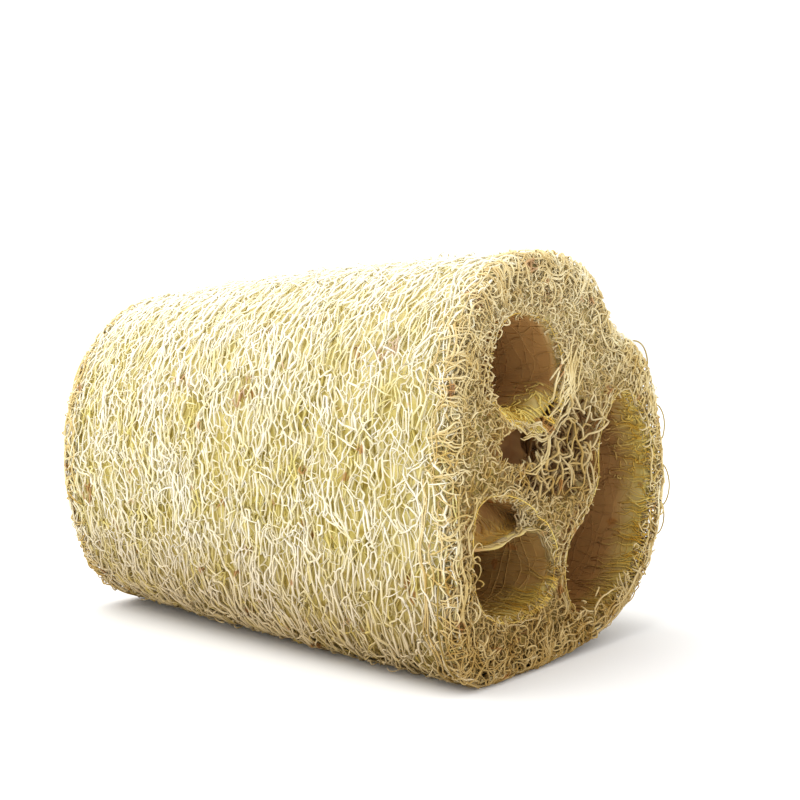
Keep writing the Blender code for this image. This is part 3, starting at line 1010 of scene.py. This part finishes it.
def make_walls(material):
    """Make the chamber walls' fine nets: fibres along the length, crossed by fibres round them."""
    for seed, name in enumerate(CHAMBERS):
        draw = default_rng(70 + seed)
        surface = partial(chamber_surface, name)
        girth = GIRTHS[name]
        piece = Piece()

        def add(across, along, depth, radius, paler, palest=0.0):
            def deep(across, along):
                return np.clip(painted_wall_shade(name, across, along) - paler, 0, 2)

            places = (across, along, depth)
            radii = (radius, 0.6, 1.5)
            piece.lay(surface, lambda *rows: -facing(*rows), places, draw, radii, (palest, 1), deep)

        def evenly(count, shift=0.0):
            return (np.arange(count) + shift + draw.uniform(-0.4, 0.4, count))[:, None] / count

        length = np.linspace(0.4, LENGTH - 0.4, 46)
        across = evenly(round(girth / 1.2)) * girth
        bend = join(across, length)
        depth = 0.38 + 0.1 * ripple(bend, 5, 180 + seed)
        across = across + 0.8 * ripple(bend * (8, 1), 9, 170 + seed)
        add(across, length, depth, WALL_FIBRES[name], 0.0)

        around = np.linspace(0, girth, round(girth / 2.0))
        where = evenly(round(LENGTH / 1.8), 0.5) * LENGTH
        rows = join(around, where, 0.25)
        bend = surface(*rows.reshape(-1, 3).T).reshape(rows.shape)
        where = within(where + 1.1 * ripple(bend * (6, 1, 1), 11, 190 + seed), 0.4)
        add(around, where, 0.37, WALL_FIBRES[name], 0.0)

        # Near the mouths, over the turns where light reaches in, fibres and curls are paler than the wall, as
        # painted light
        first, last = (turn * girth for turn in LIT_TURNS[name])
        t = np.linspace(0, 1, 8)
        for mouth in (0, LENGTH):
            each = for_each(draw, round((last - first) / 0.5))
            reach = each(3, 14) * t + 0.3
            across = each(first, last) + each(-2.5, 2.5) * t
            across = across + 0.4 * ripple(join(across, reach), 5, 230 + seed)
            depth = 0.4 - 0.2 * np.sin(pi * t)
            add(across, abs(mouth - reach), depth, 0.12, 0.2)
            if name not in CURL_TURNS:
                continue
            low, high = (turn * girth for turn in CURL_TURNS[name])
            largest, paler, palest = CURL_REACH[name]
            each = for_each(draw, round((high - low) / 0.22))
            swing = each(0, tau) + each(-2.5, 2.5) * t
            size = each(0.3, 1) * largest
            reach = 1.2 + 10 * each(0, 1) ** 1.6 + size * (1 + np.cos(swing))
            across = each(low, high) + size * np.sin(swing)
            depth = 0.35 - 0.4 * np.sin(pi * t)
            add(across, abs(mouth - reach), depth, 0.14, paler, palest)
        if name == "lower":
            sheet_fibres(piece)
        piece.make(f"{name}_chamber_net", material)


# Materials

# The fibres' shades: pale, straw, ochre, and the brown of deep strands, partly their own tone and partly
# painted shade of the net's depths; the walls' pale shades show where painted light falls into the chambers
COLOURS = {
    "skin": ((252, 246, 228), (247, 238, 204), (232, 218, 138), (222, 206, 114)),
    "end": ((242, 226, 178), (222, 198, 134), (198, 166, 88), (134, 100, 54)),
    "wall": ((252, 230, 134), (244, 209, 94), (226, 177, 62), (196, 152, 92)),
    "bed": ((234, 220, 146), (216, 200, 112), (186, 164, 80), (186, 142, 86)),
}

# Painted shade makes low fibre darker and browner: how much, its tint, and the heights where that begins, also
# on the ends, and is full
PAINTED_LOW_SHADE = 0.9
PAINTED_LOW_SHADE_TINT = (0.5, 0.36, 0.15, 1)
PAINTED_LOW_SHADE_FROM, PAINTED_LOW_SHADE_FROM_ON_ENDS, PAINTED_LOW_SHADE_TO = 31, 74, -5

# The heights between which painted light makes fibre paler towards the top, and the colour of that painted
# light
PAINTED_TOP_LIGHT_FROM, PAINTED_TOP_LIGHT_TO = 40, 76
PAINTED_TOP_LIGHT = (252, 248, 230)

# Rare brown spots, and the painted shade of the deepest hollows
STAIN = (0.48, 0.22, 0.05, 1)
PAINTED_HOLLOW_SHADE = (0.55, 0.47, 0.38, 1)


def linear(colour):
    """Return the linear colour of screen values in 0 to 255."""
    return (*(c / 12.92 if c <= 0.04045 else ((c + 0.055) / 1.055) ** 2.4 for c in np.array(colour) / 255), 1)


def fibre_material(name, colours, top_light, painted_shade_from=PAINTED_LOW_SHADE_FROM):
    """Return dry fibre. Strands differ in tone. Deep ones are browner, partly their own tone and partly
    painted shade; painted shade darkens low ones, and painted light makes high ones paler.
    """
    material = bpy.data.materials.new(name)
    material.use_nodes = True
    tree = material.node_tree

    def put(node, values):
        for socket, value in values.items():
            if isinstance(value, bpy.types.NodeSocket):
                tree.links.new(value, node.inputs[socket])
            else:
                node.inputs[socket].default_value = value

    def add(kind, output, values=(), **settings):
        node = tree.nodes.new(f"ShaderNode{kind}")
        for setting, value in settings.items():
            setattr(node, setting, value)
        put(node, dict(values))
        return node.outputs[output]

    def noise(scale, detail):
        return add("TexNoise", "Fac", {"Vector": place, "Scale": scale, "Detail": detail})

    def step(value, start, end, most):
        values = {"Value": value, "From Min": start, "From Max": end, "To Max": most}
        return add("MapRange", "Result", values, interpolation_type="SMOOTHSTEP")

    def mix(share, first, second, blend="MIX"):
        values = {"Factor": share, "A": first, "B": second}
        return add("Mix", "Result", values, data_type="RGBA", blend_type=blend)

    def work(operation, *values, clamp=False):
        return add("Math", "Value", enumerate(values), operation=operation, use_clamp=clamp)

    place = add("TexCoord", "Object")
    height = add("SeparateXYZ", "Z", {"Vector": place})
    tone = add("Attribute", "Fac", attribute_name="tone")
    deep = add("Attribute", "Fac", attribute_name="deep")
    colour = add("ValToRGB", "Color", {"Fac": work("MULTIPLY_ADD", tone, 0.4, noise(150, 3))})
    pale, straw, ochre, brown = (linear(colour) for colour in colours)
    ramp = colour.node.color_ramp.elements
    ramp[0].position, ramp[0].color = 0.43, ochre
    ramp[1].position, ramp[1].color = 0.88, pale
    ramp.new(0.62).color = straw
    # Deep fibre is browner: partly its own tone, partly painted shade of the net's depths
    colour = mix(deep, colour, brown)
    colour = mix(step(noise(210, 1), 0.69, 0.74, 0.85), colour, STAIN)
    # Painted shade where deep passes 1, in the deepest hollows
    colour = mix(work("SUBTRACT", deep, 1, clamp=True), colour, PAINTED_HOLLOW_SHADE, "MULTIPLY")
    # Painted shade: darker towards the bottom, and on the cut ends from higher up
    colour = mix(step(height, painted_shade_from * MM, PAINTED_LOW_SHADE_TO * MM, PAINTED_LOW_SHADE), colour, PAINTED_LOW_SHADE_TINT, "MULTIPLY")
    # Painted light: paler towards the top, where the light falls, except on deep fibre
    high = step(height, PAINTED_TOP_LIGHT_FROM * MM, PAINTED_TOP_LIGHT_TO * MM, top_light)
    colour = mix(work("MULTIPLY", high, work("SUBTRACT", 1, deep, clamp=True)), colour, linear(PAINTED_TOP_LIGHT))
    relief = add("Bump", "Normal", {"Height": noise(2500, 2), "Strength": 0.4, "Distance": 0.1 * MM})
    shader = tree.nodes["Principled BSDF"]
    put(shader, {"Base Color": colour, "Roughness": 0.6, "Specular IOR Level": 0.3, "Normal": relief})
    return material


# The studio

def make_stage():
    """Make a plain pale floor."""
    material = bpy.data.materials.new("pale_floor")
    material.use_nodes = True
    shader = material.node_tree.nodes["Principled BSDF"]
    shader.inputs["Base Color"].default_value = (0.83, 0.83, 0.83, 1)
    shader.inputs["Roughness"].default_value = 0.9
    bpy.ops.mesh.primitive_plane_add(size=6)
    floor = bpy.context.object
    floor.name = "floor"
    floor.data.materials.append(material)


def aim(name, data, place, target):
    """Put a lamp or a camera at a place, aimed at a target, and return it."""
    item = bpy.data.objects.new(name, data)
    item.location = place
    item.rotation_euler = Vector(np.subtract(target, place)).to_track_quat("-Z", "Y").to_euler()
    bpy.context.scene.collection.objects.link(item)
    return item


def make_light():
    """Light the sponge softly from the upper left, under an even white sky."""
    world = bpy.data.worlds.new("studio")
    world.use_nodes = True
    sky = world.node_tree.nodes["Background"].inputs
    sky["Color"].default_value = (1, 1, 1, 1)
    sky["Strength"].default_value = 1.25
    bpy.context.scene.world = world
    lamp = bpy.data.lights.new("key", "AREA")
    lamp.shape = "DISK"
    lamp.size = 1.4
    lamp.energy = 12
    lamp.color = (1.0, 0.98, 0.94)
    aim("key", lamp, (-0.3, -0.3, 1.0), (0, 0, 0.04))


def make_camera():
    """Make the camera."""
    data = bpy.data.cameras.new("camera")
    data.sensor_width = 36
    data.lens = 18 / tan(radians(CAMERA_FOV / 2))
    data.clip_start = 0.01
    bpy.context.scene.camera = aim("camera", data, CAMERA_PLACE * MM, CAMERA_TARGET * MM)


def main():
    """Build the scene."""
    make_camera()
    make_light()
    make_stage()
    bpy.context.scene.view_settings.view_transform = "Standard"
    # The third value is how strongly painted light makes the top of each kind of fibre paler
    skin = fibre_material("skin_fibre", COLOURS["skin"], 0.6)
    ends = fibre_material("end_fibre", COLOURS["end"], 0.2, PAINTED_LOW_SHADE_FROM_ON_ENDS)
    rims = fibre_material("rim_fibre", COLOURS["end"], 0.12)
    wall = fibre_material("wall_fibre", COLOURS["wall"], 0.0)
    bed = fibre_material("bed_fibre", COLOURS["bed"], 0.2)
    make_bed(bed)
    make_skin(skin)
    make_ends(ends, rims)
    make_walls(wall)


main()
